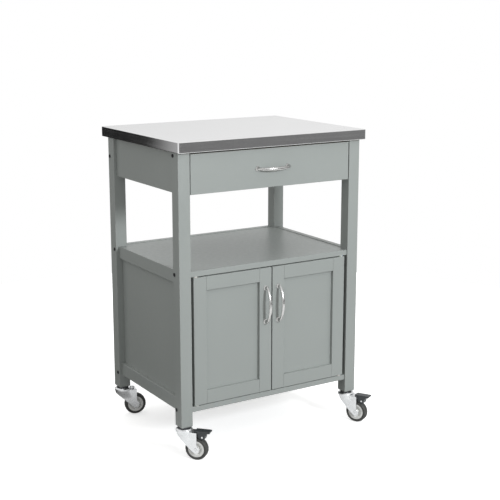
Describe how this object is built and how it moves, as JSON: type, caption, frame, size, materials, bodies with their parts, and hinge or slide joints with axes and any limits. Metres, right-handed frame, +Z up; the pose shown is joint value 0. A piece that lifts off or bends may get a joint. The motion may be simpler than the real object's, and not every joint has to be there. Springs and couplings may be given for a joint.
{
  "type": "kitchen island cart",
  "caption": "Painted kitchen island cart with a steel worktop, a drawer on roller runners, an open shelf, a two-door cupboard and swivel casters with foot brakes.",
  "frame": {"origin": "on the floor, under the centre of the worktop", "axes": "+X to the cart's right as seen from the front, -Y out of the front, +Z up"},
  "size_m": [0.6196, 0.5035, 0.868],
  "materials": {
    "grey_paint": "satin sprayed paint on wood",
    "worktop_core": "raw chipboard",
    "steel_top": "brushed, polished corners",
    "nickel": "satin nickel plate",
    "zinc": "bright zinc plate",
    "black_bolt": "blackened steel",
    "plated_steel": "zinc plate",
    "runner_enamel": "powder coat",
    "white_nylon": "moulded",
    "tyre_rubber": "matt",
    "wheel_grey": "moulded",
    "pedal_black": "moulded"
  },
  "bodies": {
    "cabinet": {"worktop_steel": "steel_top", "worktop_board": "worktop_core", "front_legs": "grey_paint", "rear_legs": "grey_paint", "side_aprons": "grey_paint", "rear_apron": "grey_paint", "top_stretchers": "grey_paint", "shelf_board": "grey_paint", "cupboard_floor": "grey_paint", "side_rails": "grey_paint", "rear_rails": "grey_paint", "side_panels": "grey_paint", "back_panel": "grey_paint", "frame_bolts": "black_bolt", "barrel_nuts": "plated_steel", "cabinet_screws": "plated_steel", "cabinet_runners": "runner_enamel", "pivot_bushes": "white_nylon", "magnet_catches": "white_nylon", "caster_stems": "zinc", "stem_inserts": "plated_steel"},
    "drawer": {"drawer_front": "grey_paint", "drawer_sides": "grey_paint", "drawer_back": "grey_paint", "drawer_floor": "grey_paint", "drawer_runners": "runner_enamel", "drawer_handle": "nickel", "drawer_screws": "plated_steel"},
    "channel_roller_pair": {"channel_rollers": "white_nylon"},
    "drawer_roller_pair": {"drawer_rollers": "white_nylon"},
    "left_door": {"left_door_stiles": "grey_paint", "left_door_rails": "grey_paint", "left_door_panel": "grey_paint", "left_door_handle": "nickel", "left_door_pivots": "plated_steel", "left_door_fittings": "plated_steel"},
    "right_door": {"right_door_stiles": "grey_paint", "right_door_rails": "grey_paint", "right_door_panel": "grey_paint", "right_door_handle": "nickel", "right_door_pivots": "plated_steel", "right_door_fittings": "plated_steel"},
    "front_left_caster": {"front_left_fork": "zinc", "front_left_axle": "zinc"},
    "front_left_wheel": {"front_left_tyre": "tyre_rubber", "front_left_hub": "wheel_grey"},
    "front_left_brake": {"front_left_brake_pedal": "pedal_black"},
    "front_right_caster": {"front_right_fork": "zinc", "front_right_axle": "zinc"},
    "front_right_wheel": {"front_right_tyre": "tyre_rubber", "front_right_hub": "wheel_grey"},
    "front_right_brake": {"front_right_brake_pedal": "pedal_black"},
    "rear_left_caster": {"rear_left_fork": "zinc", "rear_left_axle": "zinc"},
    "rear_left_wheel": {"rear_left_tyre": "tyre_rubber", "rear_left_hub": "wheel_grey"},
    "rear_right_caster": {"rear_right_fork": "zinc", "rear_right_axle": "zinc"},
    "rear_right_wheel": {"rear_right_tyre": "tyre_rubber", "rear_right_hub": "wheel_grey"}
  },
  "joints": [
    {"name": "drawer_slide", "type": "slide", "parent": "cabinet", "child": "drawer", "axis": [0, -1, 0], "range_m": [0, 0.28]},
    {"name": "channel_roller_spin", "type": "hinge", "parent": "cabinet", "child": "channel_roller_pair", "pos_m": [0, -0.179, 0.76245], "axis": [1, 0, 0], "range_deg": [0, 1900]},
    {"name": "drawer_roller_spin", "type": "hinge", "parent": "drawer", "child": "drawer_roller_pair", "pos_m": [0, 0.1505, 0.74775], "axis": [1, 0, 0], "range_deg": [0, 1900]},
    {"name": "left_door_hinge", "type": "hinge", "parent": "cabinet", "child": "left_door", "pos_m": [-0.2385, -0.203, 0.32625], "axis": [0, 0, -1], "range_deg": [0, 110]},
    {"name": "right_door_hinge", "type": "hinge", "parent": "cabinet", "child": "right_door", "pos_m": [0.2385, -0.203, 0.32625], "axis": [0, 0, 1], "range_deg": [0, 110]},
    {"name": "front_left_swivel", "type": "hinge", "parent": "cabinet", "child": "front_left_caster", "pos_m": [-0.2735, -0.197, 0.08], "axis": [0, 0, 1], "continuous": true},
    {"name": "front_left_wheel_spin", "type": "hinge", "parent": "front_left_caster", "child": "front_left_wheel", "pos_m": [-0.24955, -0.22455, 0.0318], "axis": [0.7547, 0.6561, 0], "continuous": true},
    {"name": "front_left_brake_tilt", "type": "hinge", "parent": "front_left_caster", "child": "front_left_brake", "pos_m": [-0.23742, -0.23851, 0.068], "axis": [0.7547, 0.6561, 0], "range_deg": [0, 18]},
    {"name": "front_right_swivel", "type": "hinge", "parent": "cabinet", "child": "front_right_caster", "pos_m": [0.2735, -0.197, 0.08], "axis": [0, 0, 1], "continuous": true},
    {"name": "front_right_wheel_spin", "type": "hinge", "parent": "front_right_caster", "child": "front_right_wheel", "pos_m": [0.2912, -0.22892, 0.0318], "axis": [0.8746, 0.4848, 0], "continuous": true},
    {"name": "front_right_brake_tilt", "type": "hinge", "parent": "front_right_caster", "child": "front_right_brake", "pos_m": [0.30017, -0.2451, 0.068], "axis": [0.8746, 0.4848, 0], "range_deg": [0, 18]},
    {"name": "rear_left_swivel", "type": "hinge", "parent": "cabinet", "child": "rear_left_caster", "pos_m": [-0.2735, 0.1895, 0.08], "axis": [0, 0, 1], "continuous": true},
    {"name": "rear_left_wheel_spin", "type": "hinge", "parent": "rear_left_caster", "child": "rear_left_wheel", "pos_m": [-0.23824, 0.18005, 0.0318], "axis": [0.2588, 0.9659, 0], "continuous": true},
    {"name": "rear_right_swivel", "type": "hinge", "parent": "cabinet", "child": "rear_right_caster", "pos_m": [0.2735, 0.1895, 0.08], "axis": [0, 0, 1], "continuous": true},
    {"name": "rear_right_wheel_spin", "type": "hinge", "parent": "rear_right_caster", "child": "rear_right_wheel", "pos_m": [0.28598, 0.1552, 0.0318], "axis": [0.9397, 0.342, 0], "continuous": true}
  ],
  "couplings": [
    {"joint": "channel_roller_spin", "follows": "drawer_slide", "rad_per_m": 117.65},
    {"joint": "drawer_roller_spin", "follows": "drawer_slide", "rad_per_m": 117.65}
  ]
}
